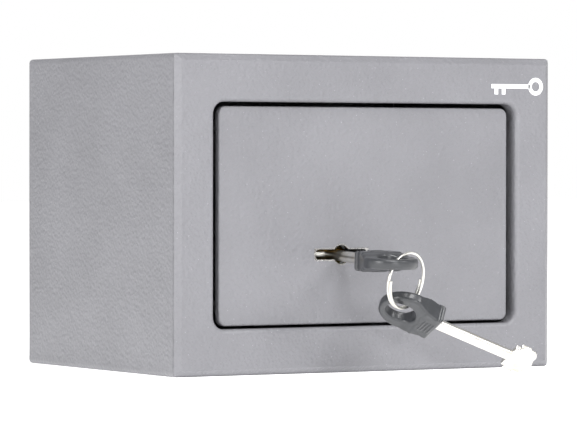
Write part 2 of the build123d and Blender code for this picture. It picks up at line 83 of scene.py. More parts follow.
class Link:
    """One output socket of a finish; arithmetic on it adds Math nodes."""

    def __init__(self, finish, socket):
        self.finish, self.socket = finish, socket

    def maths(self, operation, *values):
        made = self.finish.node("ShaderNodeMath", {"operation": operation}, dict(enumerate(values)))
        return Link(self.finish, made.outputs[0])

    def __add__(self, other):
        return self.maths("ADD", self, other)

    def __sub__(self, other):
        return self.maths("SUBTRACT", self, other)

    def __rsub__(self, other):
        return self.maths("SUBTRACT", other, self)

    def __mul__(self, other):
        return self.maths("MULTIPLY", self, other)

    def __truediv__(self, other):
        return self.maths("DIVIDE", self, other)

    def __pow__(self, other):
        return self.maths("POWER", self, other)

    def __neg__(self):
        return self.maths("MULTIPLY", self, -1)

    def __abs__(self):
        return self.maths("ABSOLUTE", self)

    __radd__, __rmul__ = __add__, __mul__

    def most(self, other):
        return self.maths("MAXIMUM", self, other)

    def least(self, other):
        return self.maths("MINIMUM", self, other)

    def fade(self, start, end):
        """0 before start and 1 after end, smooth between them."""
        made = self.finish.node(
            "ShaderNodeMapRange", {"interpolation_type": "SMOOTHSTEP"},
            {"Value": self, "From Min": start, "From Max": end},
        )
        return Link(self.finish, made.outputs[0])


class Finish:
    """A material with one Principled shader, and the nodes that feed it."""

    def __init__(self, name, **constants):
        self.material = bpy.data.materials.new(name)
        self.material.use_nodes = True
        self.tree = self.material.node_tree
        self.shader = self.tree.nodes["Principled BSDF"]
        for socket, value in constants.items():
            self.shader.inputs[socket.replace("_", " ")].default_value = value
        self.place = self.link("ShaderNodeTexCoord", output="Object")

    def node(self, kind, settings=None, sockets=None):
        made = self.tree.nodes.new(kind)
        for name, value in (settings or {}).items():
            if name == "stops":
                self.set_stops(made.color_ramp.elements, value)
            else:
                setattr(made, name, value)
        for name, value in (sockets or {}).items():
            if isinstance(value, Link):
                self.tree.links.new(value.socket, made.inputs[name])
            else:
                made.inputs[name].default_value = value
        return made

    @staticmethod
    def set_stops(elements, stops):
        while len(elements) < len(stops):
            elements.new(1.0)
        for element, (position, colour) in zip(elements, stops):
            element.position, element.color = position, (*colour, 1)

    def link(self, kind, settings=None, sockets=None, output=0):
        return Link(self, self.node(kind, settings, sockets).outputs[output])

    def noise(self, size, detail=2.0, roughness=0.5, place=None):
        """Noise of this feature size in metres, from 0 to 1."""
        return self.link("ShaderNodeTexNoise", None, {
            "Vector": place or self.place, "Scale": 1 / size, "Detail": detail, "Roughness": roughness})

    def cells(self, size, feature="F1", output="Distance", **sockets):
        """Cell pattern of this cell size in metres."""
        return self.link("ShaderNodeTexVoronoi", {"feature": feature},
                         {"Vector": self.place, "Scale": 1 / size, **sockets}, output)

    def stretched(self, scale):
        """The object's own coordinates, scaled along each axis."""
        return self.link("ShaderNodeVectorMath", {"operation": "MULTIPLY"}, {0: self.place, 1: scale})

    def ramp(self, factor, *stops):
        return self.link("ShaderNodeValToRGB", {"stops": stops}, {"Fac": factor})

    def mixed(self, factor, first, second):
        """Colour that goes from first to second as factor goes from 0 to 1."""
        values = {"Factor": factor}
        for socket, value in ((6, first), (7, second)):
            values[socket] = value if isinstance(value, Link) else (*value, 1)
        made = self.node("ShaderNodeMix", {"data_type": "RGBA"}, values)
        return Link(self, made.outputs[2])

    def axes(self):
        made = self.node("ShaderNodeSeparateXYZ", None, {0: self.place})
        return [Link(self, made.outputs[index]) for index in range(3)]

    def feed(self, **values):
        for name, value in values.items():
            self.tree.links.new(value.socket, self.shader.inputs[name.replace("_", " ")])

    def bump(self, height, distance, strength=1.0, round_edges=0.0):
        """Relief of height times distance in metres, over edges rounded off by a small radius."""
        sockets = {"Height": height, "Distance": distance, "Strength": strength}
        if round_edges:
            sockets["Normal"] = self.link("ShaderNodeBevel", {"samples": 6}, {"Radius": round_edges})
        self.feed(Normal=self.link("ShaderNodeBump", None, sockets))


# ------------------------------------------------------------------ finishes


def pebbled_paint(look):
    """Grey powder coat with a pebbled skin, bright flakes and bare metal round the keyhole."""
    paint = Finish("hammered_paint_coat", Specular_IOR_Level=0.5, Coat_Roughness=0.22)
    size = look.pebble_size
    pebbles = paint.cells(size, "SMOOTH_F1", Smoothness=0.9, Randomness=1.0)
    grain = paint.noise(size * 0.45, 3.0, 0.6)
    waves = paint.noise(size * 6, 2.0)
    relief = (1 - pebbles) * 0.7 + grain * 0.3 + waves * 0.9
    flake_near = paint.cells(look.flake_spacing, Randomness=1.0)
    flake_colour = paint.cells(look.flake_spacing, output="Color", Randomness=1.0)
    chosen = paint.link("ShaderNodeSeparateColor", None, {0: flake_colour}).fade(0.72, 0.95)
    flake = (1 - flake_near.fade(0.05, 0.16)) * chosen
    tone = paint.noise(0.05, 3.0, 0.55)
    deep, pale = (tuple(channel * amount for channel in look.paint) for amount in (0.93, 1.07))
    base = paint.mixed(tone.fade(0.25, 0.75), deep, pale)
    base = paint.mixed(grain.fade(0.5, 0.8) * 0.25, base, tuple(min(1, 1.35 * c) for c in look.paint))
    base = paint.mixed(flake * 0.45, base, (0.85, 0.85, 0.88))
    worn = keyhole_wear(paint, grain)
    base = paint.mixed(worn * 0.85, base, (0.5, 0.49, 0.47))
    paint.feed(Base_Color=base, Metallic=worn.most(flake * 0.35),
               Roughness=0.37 + grain * 0.14 - flake * 0.25 - worn * 0.22,
               Coat_Weight=(1 - worn) * 0.25)
    paint.bump(relief * (1 - worn * 0.8), size * look.pebble_depth, round_edges=look.paint_edge)
    return paint.material


def keyhole_wear(paint, grain):
    """1 on the bare cut edge of the keyhole and the rubbed rim round it, and 0 elsewhere."""
    across, deep, up = paint.axes()
    centre, round_r, slot_half, slot_rise = keyhole_shape()
    side, rise = across - centre.x, up - centre.z
    from_round = (side * side + rise * rise) ** 0.5 - round_r
    over_side, over_rise = abs(side) - slot_half, abs(rise) - slot_rise
    outside = (over_side.most(0) ** 2.0 + over_rise.most(0) ** 2.0) ** 0.5
    from_slot = outside + over_side.most(over_rise).least(0)
    rim = 1 - (from_round.least(from_slot) + (grain - 0.5) * 0.0016).fade(0.0001, 0.0007)
    low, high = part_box("door_plate")
    return rim * (1 - deep.fade(high.y, high.y + MM))


def keyhole_shape():
    """Middle of the keyhole, radius of its round, and half the slot's width and height."""
    turning = next(joint for joint in frame["joints"] if joint["name"] == "key_turn")
    sizes = bpy.context.scene.safe_keys
    halves = (sizes.keyhole_round / 2, sizes.keyhole_slot / 2, sizes.keyhole_slot_rise / 2)
    return Vector(turning["pos_m"]), *halves


def foam_mat(look):
    """Black felt: fine fibres in soft tufts."""
    mat = Finish("foam_mat_felt", Roughness=0.95, Specular_IOR_Level=0.2)
    fibres = mat.noise(0.0006, 4.0, 0.7)
    tufts = mat.noise(0.004, 2.0)
    dark, pale = (0.3, (0.018, 0.018, 0.02)), (0.8, (0.075, 0.075, 0.08))
    mat.feed(Base_Color=mat.ramp(fibres * 0.7 + tufts * 0.3, dark, pale))
    mat.bump(fibres + tufts * 0.5, 0.0005)
    return mat.material


def plated(name, colour, roughness, mottle=0.10, grain=(1.0, 1.0, 14.0), lines=0.00025, depth=0.00002):
    """Plated or polished metal: drawn lines along one axis, mottling and fine scratches."""
    metal = Finish(name, Metallic=1.0)
    drawn = metal.noise(lines * 10, 3.0, 0.6, metal.stretched(grain))
    mottling = metal.noise(0.006, 3.0, 0.6)
    dark = tuple(channel * (1 - 2 * mottle) for channel in colour)
    metal.feed(Base_Color=metal.mixed(mottling.fade(0.3, 0.7) * 0.6 + drawn * 0.4, dark, colour),
               Roughness=roughness + drawn * 0.12 + mottling * 0.1 - 0.11)
    metal.bump(drawn, depth)
    return metal.material


def zinc(look):
    """Zinc plate: pale spangled patches over pressed sheet."""
    metal = Finish("zinc_plate", Metallic=1.0)
    patches = metal.cells(0.004, output="Color", Randomness=1.0)
    value = metal.link("ShaderNodeSeparateColor", None, {0: patches})
    fine = metal.noise(0.0009, 3.0, 0.6)
    metal.feed(Base_Color=metal.mixed(value * 0.6 + fine * 0.4, (0.46, 0.475, 0.49), (0.68, 0.69, 0.70)),
               Roughness=0.3 + value * 0.12 + fine * 0.08)
    metal.bump(fine, 0.00002)
    return metal.material


def moulded_plastic(look):
    """Glossy charcoal moulding with a faint ripple and rubbed, duller patches."""
    plastic = Finish("moulded_plastic", Specular_IOR_Level=0.55, Coat_Roughness=0.12)
    ripple = plastic.noise(0.0022, 2.0)
    rub = plastic.noise(0.006, 3.0, 0.65)
    specks = plastic.noise(0.0004, 2.0, 0.6)
    dull = tuple(channel * 1.35 for channel in look.plastic)
    plastic.feed(Base_Color=plastic.mixed(rub.fade(0.45, 0.7), look.plastic, dull),
                 Roughness=0.26 + rub * 0.14 + specks * 0.06, Coat_Weight=0.35 - rub * 0.2)
    plastic.bump(ripple * 0.8 + specks * 0.2, 0.00005)
    return plastic.material


def bright_nickel(look):
    """Bright nickel plate with soft tumbling marks."""
    metal = Finish("bright_nickel", Metallic=1.0)
    tumble = metal.noise(0.0012, 3.0, 0.6)
    marks = metal.noise(0.004, 2.0, 0.5)
    warm = tuple(channel * factor for channel, factor in zip(look.nickel, (0.93, 0.91, 0.86)))
    metal.feed(Base_Color=metal.mixed(marks.fade(0.35, 0.7), look.nickel, warm),
               Roughness=0.24 + tumble * 0.08 + marks * 0.06)
    metal.bump(tumble, 0.000005)
    return metal.material


def sign_ink(look):
    """Screen-printed white ink that follows the pebbles under it."""
    ink = Finish("sign_ink", Roughness=0.5)
    pebbles = ink.cells(look.pebble_size, "SMOOTH_F1", Smoothness=0.9)
    speckle = ink.noise(0.0007, 3.0, 0.6)
    ink.feed(Base_Color=ink.mixed(speckle.fade(0.3, 0.75), (0.86, 0.87, 0.89), (0.97, 0.97, 0.98)))
    ink.bump(1 - pebbles, look.pebble_size * 0.08)
    return ink.material


FINISH_MAKERS = {
    "hammered_paint": pebbled_paint,
    "foam_mat": foam_mat,
    "zinc_steel": zinc,
    "bright_steel": lambda look: plated("bright_steel_turned", (0.70, 0.70, 0.69), 0.24),
    "dark_steel": lambda look: plated("blued_spring_steel", (0.16, 0.17, 0.20), 0.32, 0.2),
    "bolt_steel": lambda look: plated("bolt_plate", (0.78, 0.78, 0.77), 0.18, 0.06, (14.0, 1.0, 1.0)),
    "brass_cam": lambda look: plated("machined_brass", (0.80, 0.58, 0.24), 0.26, 0.12),
    "brass_lever": lambda look: plated("stamped_brass", (0.84, 0.64, 0.30), 0.30, 0.15, (9.0, 1.0, 1.0)),
    "black_plastic": moulded_plastic,
    "nickel": bright_nickel,
    "sign": sign_ink,
}
finishes = {}


def finish(slot):
    if slot not in finishes:
        finishes[slot] = FINISH_MAKERS[slot](bpy.context.scene.safe_finishes)
    return finishes[slot]


# ------------------------------------------------------------------ mesh helpers


def new_object(name, mesh):
    made = bpy.data.objects.new(name, mesh)
    bpy.context.scene.collection.objects.link(made)
    return made


def mesh_from(name, verts, faces, place=None):
    """Mesh from points and faces, put in place, with its normals facing out."""
    mesh = bpy.data.meshes.new(name)
    mesh.from_pydata([tuple(v) for v in verts], [], faces)
    work = bmesh.new()
    work.from_mesh(mesh)
    bmesh.ops.remove_doubles(work, verts=work.verts, dist=1e-7)
    if place is not None:
        bmesh.ops.transform(work, matrix=place, verts=work.verts)
    bmesh.ops.recalc_face_normals(work, faces=work.faces)
    work.to_mesh(mesh)
    work.free()
    return mesh


def shade(mesh, degrees=35):
    """Smooth shading, with edges sharper than this angle kept crisp."""
    mesh.shade_smooth()
    work = bmesh.new()
    work.from_mesh(mesh)
    for edge in work.edges:
        edge.smooth = not edge.is_manifold or edge.calc_face_angle(0) < math.radians(degrees)
    work.to_mesh(mesh)
    work.free()
    return mesh


def merged(name, *meshes):
    """Several meshes as one."""
    work = bmesh.new()
    for mesh in meshes:
        work.from_mesh(mesh)
    whole = bpy.data.meshes.new(name)
    work.to_mesh(whole)
    work.free()
    return whole


def evaluated_mesh(source):
    """The mesh that an object has after its modifiers."""
    bpy.context.view_layer.update()
    return bpy.data.meshes.new_from_object(source.evaluated_get(bpy.context.evaluated_depsgraph_get()))


def placement(*columns):
    """Matrix whose columns are three axes and a place."""
    place = Matrix.Identity(4)
    for column, vector in enumerate(columns):
        for row in range(3):
            place[row][column] = vector[row]
    return place


def settle(name, mesh, body, slot, *nodes):
    """The finished mesh as a piece that rides on a body and stands for these nodes."""
    made = new_object(name, mesh)
    mesh.materials.clear()
    mesh.materials.append(finish(slot))
    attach(made, body)
    if nodes:
        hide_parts(*nodes)
    return made


def grid_faces(rings, count, closed=True):
    """Quads between successive rings of count points each; closed joins the last ring to the first."""
    faces = []
    for ring in range(rings if closed else rings - 1):
        here, beyond = ring * count, (ring + 1) % rings * count
        for index in range(count):
            after = (index + 1) % count
            faces.append((here + index, here + after, beyond + after, beyond + index))
    return faces


def lathe(profile, steps=32):
    """Solid turned about Y from (distance along Y, radius) points; it starts and ends on the axis."""
    verts = []
    for along, radius in profile:
        for step in range(steps):
            angle = 2 * math.pi * step / steps
            verts.append((radius * math.cos(angle), along, radius * math.sin(angle)))
    faces = grid_faces(len(profile), steps, closed=False)
    faces.append(tuple(range(steps)))
    faces.append(tuple(reversed(range(len(verts) - steps, len(verts)))))
    return verts, faces


def plate(outline, thickness, edge):
    """Closed outline in the local x-y plane given thickness about z, with bevelled edges."""
    solid = bmesh.new()
    base = solid.faces.new([solid.verts.new((x, y, -thickness / 2)) for x, y in outline])
    raised = bmesh.ops.extrude_face_region(solid, geom=[base])
    lifted = [item for item in raised["geom"] if isinstance(item, bmesh.types.BMVert)]
    bmesh.ops.translate(solid, verts=lifted, vec=(0, 0, thickness))
    bmesh.ops.recalc_face_normals(solid, faces=solid.faces)
    bmesh.ops.bevel(solid, geom=solid.edges, offset=edge, segments=2, affect="EDGES", profile=0.5)
    verts = [vert.co.copy() for vert in solid.verts]
    solid.verts.index_update()
    faces = [tuple(vert.index for vert in face.verts) for face in solid.faces]
    solid.free()
    return verts, faces


def joined(*solids):
    """Several (points, faces) solids as one."""
    verts, faces = [], []
    for more_verts, more_faces in solids:
        start = len(verts)
        verts.extend(more_verts)
        faces.extend(tuple(index + start for index in face) for face in more_faces)
    return verts, faces


def solid_boxes(node):
    """(lowest, highest) corner of each separate solid of a node, from left to right and up."""
    work = bmesh.new()
    work.from_mesh(NODES[node].data)
    bmesh.ops.remove_doubles(work, verts=work.verts, dist=1e-7)
    boxes, seen = [], set()
    for start in work.verts:
        if start in seen:
            continue
        seen.add(start)
        found, waiting = [], [start]
        while waiting:
            vert = waiting.pop()
            found.append(vert.co.copy())
            for edge in vert.link_edges:
                other = edge.other_vert(vert)
                if other not in seen:
                    seen.add(other)
                    waiting.append(other)
        lowest, highest = (Vector(map(pick, zip(*found))) for pick in (min, max))
        boxes.append((lowest, highest))
    work.free()
    return sorted(boxes, key=lambda box: (round(box[0].x, 4), round(box[0].z, 4)))


# ------------------------------------------------------------------ geometry node trees


class Tree:
    """A Geometry Nodes tree with named inputs, which ends in Realize Instances and Set Material."""

    def __init__(self, name, **inputs):
        self.group = bpy.data.node_groups.new(name, "GeometryNodeTree")
        sockets = self.group.interface
        sockets.new_socket("Geometry", in_out="INPUT", socket_type="NodeSocketGeometry")
        for label, kind in {**inputs, "Finish": "NodeSocketMaterial"}.items():
            sockets.new_socket(label.replace("_", " "), in_out="INPUT", socket_type=kind)
        sockets.new_socket("Geometry", in_out="OUTPUT", socket_type="NodeSocketGeometry")
        self.given = self.group.nodes.new("NodeGroupInput")

    def node(self, kind, settings=None, sockets=None):
        made = self.group.nodes.new(kind)
        for name, value in (settings or {}).items():
            setattr(made, name, value)
        for name, value in (sockets or {}).items():
            if isinstance(value, bpy.types.NodeSocket):
                self.group.links.new(value, made.inputs[name])
            else:
                made.inputs[name].default_value = value
        return made

    def end(self, geometry):
        real = self.node("GeometryNodeRealizeInstances", None, {0: geometry})
        painted = self.node("GeometryNodeSetMaterial", None, {
            0: real.outputs[0], "Material": self.given.outputs["Finish"]})
        self.node("NodeGroupOutput", None, {0: painted.outputs[0]})
        return self.group

    def grow(self, source, **values):
        """The tree's result on an object, as a plain mesh."""
        modifier = source.modifiers.new("grow", "NODES")
        modifier.node_group = self.group
        for item in self.group.interface.items_tree:
            label = item.name.replace(" ", "_")
            if item.in_out == "INPUT" and label in values:
                modifier[item.identifier] = values[label]
        result = evaluated_mesh(source)
        source.modifiers.remove(modifier)
        return result


def repeat_tree():
    """A shape set on each point, spun about Y by a seeded random angle."""
    tree = Tree("repeat_on_points", Shape="NodeSocketObject", Most_spin="NodeSocketFloat",
                Seed="NodeSocketInt")
    given = tree.given.outputs
    shape = tree.node("GeometryNodeObjectInfo", {"transform_space": "ORIGINAL"}, {"Object": given["Shape"]})
    spin = tree.node("FunctionNodeRandomValue", {"data_type": "FLOAT"}, {
        3: given["Most spin"], "Seed": given["Seed"]})
    turn = tree.node("ShaderNodeCombineXYZ", None, {1: spin.outputs[1]})
    placed = tree.node("GeometryNodeInstanceOnPoints", None, {
        "Points": given["Geometry"], "Instance": shape.outputs["Geometry"], "Rotation": turn.outputs[0]})
    tree.end(placed.outputs[0])
    return tree


def band_tree():
    """A flat band with rounded edges swept along a curve, its width across the curve's plane."""
    tree = Tree("band_along_curve", Width="NodeSocketFloat", Depth="NodeSocketFloat",
                Corner="NodeSocketFloat")
    given = tree.given.outputs
    section = tree.node("GeometryNodeCurvePrimitiveQuadrilateral", {"mode": "RECTANGLE"}, {
        "Width": given["Depth"], "Height": given["Width"]})
    rounded = tree.node("GeometryNodeFilletCurve", {"mode": "POLY"}, {
        "Curve": section.outputs[0], "Count": 3, "Radius": given["Corner"]})
    facing = tree.node("GeometryNodeSetCurveNormal", {"mode": "Z_UP"}, {"Curve": given["Geometry"]})
    swept = tree.node("GeometryNodeCurveToMesh", None, {
        "Curve": facing.outputs[0], "Profile Curve": rounded.outputs[0], "Fill Caps": True})
    tree.end(swept.outputs[0])
    return tree


# ------------------------------------------------------------------ fixings


def repeated(name, shape, points, spin=0.0, seed=1, slot="bright_steel"):
    """A shape's mesh on every point, as one mesh."""
    holder = new_object(name + "_points", bpy.data.meshes.new(name + "_points"))
    holder.data.from_pydata([tuple(point) for point in points], [], [])
    pattern = new_object(name + "_shape", shape)
    result = repeat_tree().grow(holder, Shape=pattern, Most_spin=spin, Seed=seed, Finish=finish(slot))
    for spare in (holder, pattern):
        bpy.data.objects.remove(spare)
    result.name = name
    return result


def screw_shape(radius, height, shank_r, shank_length):
    """Pan head with a cross recess on a plain shank; the head's top faces +Y."""
    head = lathe([(0, radius * 0.94), (height * 0.15, radius), (height * 0.55, radius * 0.97),
                  (height * 0.85, radius * 0.82), (height, radius * 0.6)], 32)
    shank = lathe([(-shank_length, shank_r * 0.8), (-shank_length * 0.92, shank_r), (0.1 * MM, shank_r)], 20)
    body = new_object("screw_head", mesh_from("screw_head", *head))
    for turn in (0, math.pi / 2):
        carve_slot(body, radius, height, turn)
    carved = body.data
    bpy.data.objects.remove(body)
    return shade(merged("screw", carved, mesh_from("screw_shank", *shank)), 30)


def carve_slot(body, radius, height, turn):
    """Cuts one arm of the cross recess into a screw's head."""
    arm, half_width, sunk = 0.62 * radius, 0.17 * radius, 0.45 * height
    outline = [(-arm, -half_width), (arm, -half_width), (arm, half_width), (-arm, half_width)]
    upright = Matrix.Rotation(turn, 4, "Y") @ Matrix.Rotation(math.pi / 2, 4, "X")
    place = Matrix.Translation((0, height, 0)) @ upright
    bar = plate(outline, 2 * sunk, half_width * 0.3)
    cutter = new_object("screw_cross", mesh_from("screw_cross", *bar, place))
    cut = body.modifiers.new("cut", "BOOLEAN")
    cut.operation, cut.object, cut.solver = "DIFFERENCE", cutter, "EXACT"
    carved = evaluated_mesh(body)
    body.modifiers.remove(cut)
    body.data = carved
    bpy.data.objects.remove(cutter)


def nut_shape(across_flats, height, bore_r):
    """Hexagon nut with both faces turned down at the corners and a washer face; its bore runs along Y."""
    steps, half_flats = 48, across_flats / 2
    corner = half_flats / math.cos(math.pi / 6)
    angles = [2 * math.pi * step / steps for step in range(steps)]
    sides = [half_flats / math.cos((angle + math.pi / 6) % (math.pi / 3) - math.pi / 6) for angle in angles]
    rows = []
    for along, most in ((0, 0.93), (0.12, 1.0), (0.88, 1.0), (1.0, 0.93)):
        rows.append((along, [min(side, corner * most) for side in sides]))
    for along, radius in ((1.0, 0.84 * half_flats), (0.97, bore_r * 1.15), (0.9, bore_r), (0.1, bore_r),
                          (0, bore_r * 1.15)):
        rows.append((along, [radius] * steps))
    verts = []
    for along, radii in rows:
        for radius, angle in zip(radii, angles):
            verts.append((radius * math.cos(angle), along * height, radius * math.sin(angle)))
    return shade(mesh_from("hex_nut", verts, grid_faces(len(rows), steps)), 28)


def centres(boxes, height):
    """Middles of these boxes at one height along Y."""
    return [((low.x + high.x) / 2, height, (low.z + high.z) / 2) for low, high in boxes]


class SAFE_OT_fixings(bpy.types.Operator):
    """Cross-head cover screws, chamfered nuts, domed rivets and spot welds"""

    bl_idname = "safe.fixings"
    bl_label = "Screws, nuts, rivets and welds"

    def execute(self, context):
        sizes = context.scene.safe_fixings
        self.cover_screws()
        self.case_nuts()
        self.slide_rivets()
        self.welds(sizes)
        return {"FINISHED"}

    def cover_screws(self):
        boxes = solid_boxes("cover_screws")
        cover_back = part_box("lock_cover")[1].y
        low, high = boxes[0]
        radius, height = (high.x - low.x) / 2, high.y - cover_back
        shape = screw_shape(radius, height, radius * 0.45, cover_back - low.y)
        mesh = repeated("cover_screws_crosshead", shape, centres(boxes, cover_back), 2 * math.pi, 7)
        settle("cover_screws_crosshead", mesh, BODY_OF["cover_screws"], "bright_steel", "cover_screws")

    def case_nuts(self):
        boxes = solid_boxes("lock_nuts")
        low, high = boxes[0]
        stud_low, stud_high = solid_boxes("lock_studs")[0]
        flats = min(high.x - low.x, high.z - low.z)
        shape = nut_shape(flats, high.y - low.y, (stud_high.z - stud_low.z) / 2 * 0.6)
        mesh = repeated("lock_nuts_chamfered", shape, centres(boxes, low.y), 2 * math.pi, 3)
        settle("lock_nuts_chamfered", mesh, BODY_OF["lock_nuts"], "bright_steel", "lock_nuts")

    def slide_rivets(self):
        boxes = solid_boxes("slide_rivets")
        low, high = boxes[0]
        radius, length = (high.x - low.x) / 2, high.y - low.y
        head, shank = 1.0 * MM, radius * 0.58
        neck = shank / radius
        formed = ((0, 0.7), (0.15, 0.95), (0.5, 1.0), (1.0, 1.0), (1.0, neck))
        domed = ((1.0, neck), (1.0, 1.0), (0.8, 1.0), (0.4, 0.86), (0.12, 0.55), (0, 0.2))
        profile = [(rise * head, share * radius) for rise, share in formed]
        profile += [(length - rise * head, share * radius) for rise, share in domed]
        shape = shade(mesh_from("rivet", *lathe(profile)))
        mesh = repeated("slide_rivets_domed", shape, centres(boxes, low.y))
        settle("slide_rivets_domed", mesh, BODY_OF["slide_rivets"], "bright_steel", "slide_rivets")

    def welds(self, sizes):
        """Flat buttons left by spot welds down the hinge strip, painted over."""
        low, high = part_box("hinge_strip")
        radius = sizes.weld_across / 2
        shape = shade(mesh_from("weld", *lathe([
            (-0.3 * MM, radius), (0.06 * MM, radius), (0.16 * MM, radius * 0.88), (0.2 * MM, radius * 0.7),
            (0.12 * MM, radius * 0.5), (0.1 * MM, radius * 0.2)])), 60)
        middle, face = (low.x + high.x) / 2, low.y + sizes.strip_thickness
        gap = (high.z - low.z) / sizes.weld_count
        points = [(middle, face, low.z + gap * (index + 0.5)) for index in range(sizes.weld_count)]
        mesh = repeated("hinge_spot_welds", shape, points, slot="hammered_paint")
        settle("hinge_spot_welds", mesh, BODY_OF["hinge_strip"], "hammered_paint")


# ------------------------------------------------------------------ keys


def node_points(node):
    """A node's points as rows of an array."""
    return np.array([vert.co for vert in NODES[node].data.vertices])


def middle_of(values):
    return (values.max() + values.min()) / 2


def key_place(prefix):
    """Placement of a key's own axes, and the lengths that its CAD pieces give.

    x runs from the middle of the round head to the tip, y across the head and z out of its flat.
    """
    blade, bow = node_points(prefix + "_blade"), node_points(prefix + "_bow")
    axes = np.linalg.eigh(np.cov(blade.T))[1]
    way, across = axes[:, 2], axes[:, 1]
    if (blade.mean(0) - bow.mean(0)) @ way < 0:
        way = -way
    face = np.cross(way, across)
    if face[2] < 0 and abs(face[2]) > 0.1:
        across, face = -across, -face
    along, side, deep = bow @ way, bow @ across, bow @ face
    head_r = (side.max() - side.min()) / 2
    origin = way * (along.min() + head_r) + across * middle_of(side) + face * middle_of(deep)
    shape = {
        "head_r": head_r,
        "collar_x": along.max() - origin @ way,
        "tip_x": (blade @ way).max() - origin @ way,
        "collar_half": (deep.max() - deep.min()) / 2,
    }
    return placement(way, across, face, origin), shape


def smooth_step(value):
    """0 up to 0 and 1 from 1, smooth between them."""
    value = min(1.0, max(0.0, value))
    return value * value * (3 - 2 * value)


def bow_outline(shape, sizes):
    """Even points round the head: a round end, sides that run in to the collar, and its two ears."""
    head, end = shape["head_r"], shape["collar_x"]
    side, ear = sizes.collar_width / 2, sizes.collar_width / 2 + sizes.ear_rise
    notch = end - sizes.ear_length
    path = [Vector(point) for point in (
        (notch, -side), (notch, -ear), (end, -ear), (end, ear), (notch, ear), (notch, side))]
    arc_start, arc_steps = math.atan2(head - 0.05 * MM, 1.0 * MM), 90
    for step in range(arc_steps + 1):
        angle = arc_start + (2 * math.pi - 2 * arc_start) * step / arc_steps
        path.append(Vector((head * math.cos(angle), head * math.sin(angle))))
    spaced = []
    for first, second in zip(path, path[1:] + path[:1]):
        count = max(1, round((second - first).length / sizes.outline_step))
        spaced += [first.lerp(second, index / count) for index in range(count)]
    for _ in range(sizes.outline_smoothing):
        after = spaced[1:] + spaced[:1]
        before = spaced[-1:] + spaced[:-1]
        spaced = [(first + 2 * here + last) / 4 for first, here, last in zip(before, spaced, after)]
    return spaced


def bow_half_thickness(x, shape, sizes):
    """Half the head's thickness at x: a wedge from its end that swells up to the collar."""
    collar = shape["collar_x"] - sizes.collar_length
    swell = smooth_step((x - sizes.wedge_end) / (collar - sizes.collar_ramp - sizes.wedge_end))
    step = smooth_step((x - collar + sizes.collar_ramp) / sizes.collar_ramp)
    wedge = min(1.0, (x + shape["head_r"]) / (sizes.wedge_end + shape["head_r"]))
    thin = sizes.rim_thickness + (sizes.head_thickness - sizes.rim_thickness) * wedge
    shoulder = thin + (sizes.shoulder_thickness - sizes.head_thickness) * swell
    return (shoulder + (2 * shape["collar_half"] - sizes.shoulder_thickness) * step) / 2


def moulded_bow(shape, sizes):
    """The head as a ring of sections round its oval hole, with every edge rounded."""
    outline = bow_outline(shape, sizes)
    half_hole = sizes.hole_length / 2
    hole_x = sizes.hole_from_end + half_hole - shape["head_r"]
    verts = []
    for point in outline:
        angle = math.atan2(point.y, (point.x - hole_x) * 0.8)
        inner = Vector((hole_x + half_hole * math.cos(angle), sizes.hole_width / 2 * math.sin(angle)))
        reach = (point - inner).length
        upper = []
        for along, sunk in bow_section(reach, sizes.hole_round, sizes.edge_round):
            spot = inner.lerp(point, along / reach)
            half = bow_half_thickness(spot.x, shape, sizes)
            upper.append((spot.x, spot.y, 0.0 if sunk is None else half - sunk))
        verts += upper + [(x, y, -z) for x, y, z in reversed(upper[1:-1])]
    return verts, grid_faces(len(outline), len(verts) // len(outline))


def bow_section(reach, inner_round, outer_round, arc_steps=5, face_steps=16):
    """(distance from the hole, depth below the face) over the head's upper half; None is its middle plane."""
    section = [(0.0, None)]
    for step in range(arc_steps + 1):
        turn = math.pi / 2 * step / arc_steps
        section.append((inner_round * (1 - math.cos(turn)), inner_round * (1 - math.sin(turn))))
    flat = reach - inner_round - outer_round
    for step in range(1, face_steps):
        section.append((inner_round + flat * step / face_steps, 0.0))
    for step in range(arc_steps + 1):
        turn = math.pi / 2 * (1 - step / arc_steps)
        section.append((reach - outer_round * (1 - math.cos(turn)), outer_round * (1 - math.sin(turn))))
    return section + [(reach, None)]


def shaft(shape, sizes):
    """Round shaft with a groove down each flat side and a chamfered tip."""
    steps, start = 72, shape["collar_x"] - sizes.collar_length + MM
    radius, tip = sizes.shaft_across / 2, shape["tip_x"]
    rows = [(start, 1.0), (tip - sizes.tip_chamfer, 1.0), (tip, 1 - sizes.tip_chamfer / radius)]
    verts = []
    for along, scale in rows:
        for step in range(steps):
            angle = 2 * math.pi * step / steps
            from_groove = math.asin(abs(math.cos(angle))) * radius
            sunk = sizes.groove_depth * (1 - smooth_step(from_groove / sizes.groove_width - 0.2))
            out = (radius - sunk) * scale
            verts.append((along, out * math.cos(angle), out * math.sin(angle)))
    faces = grid_faces(len(rows), steps, closed=False)
    faces += [tuple(range(steps)), tuple(range(len(verts) - steps, len(verts)))]
    return verts, faces


def bits(shape, sizes):
    """The two stepped bits as one plate through the shaft."""
    tip = shape["tip_x"]
    root, half = tip - sizes.bit_length, sizes.bit_span / 2
    steps = ((0, 0.76), (1.6, 0.76), (1.6, 1.0), (6.4, 1.0), (6.4, 0.87), (8.8, 0.87), (10.2, 0.72))
    side = [(root + along * MM, half * share) for along, share in steps]
    outline = side + [(x, -y) for x, y in reversed(side)]
    return plate(outline, sizes.bit_thickness, 0.2 * MM)


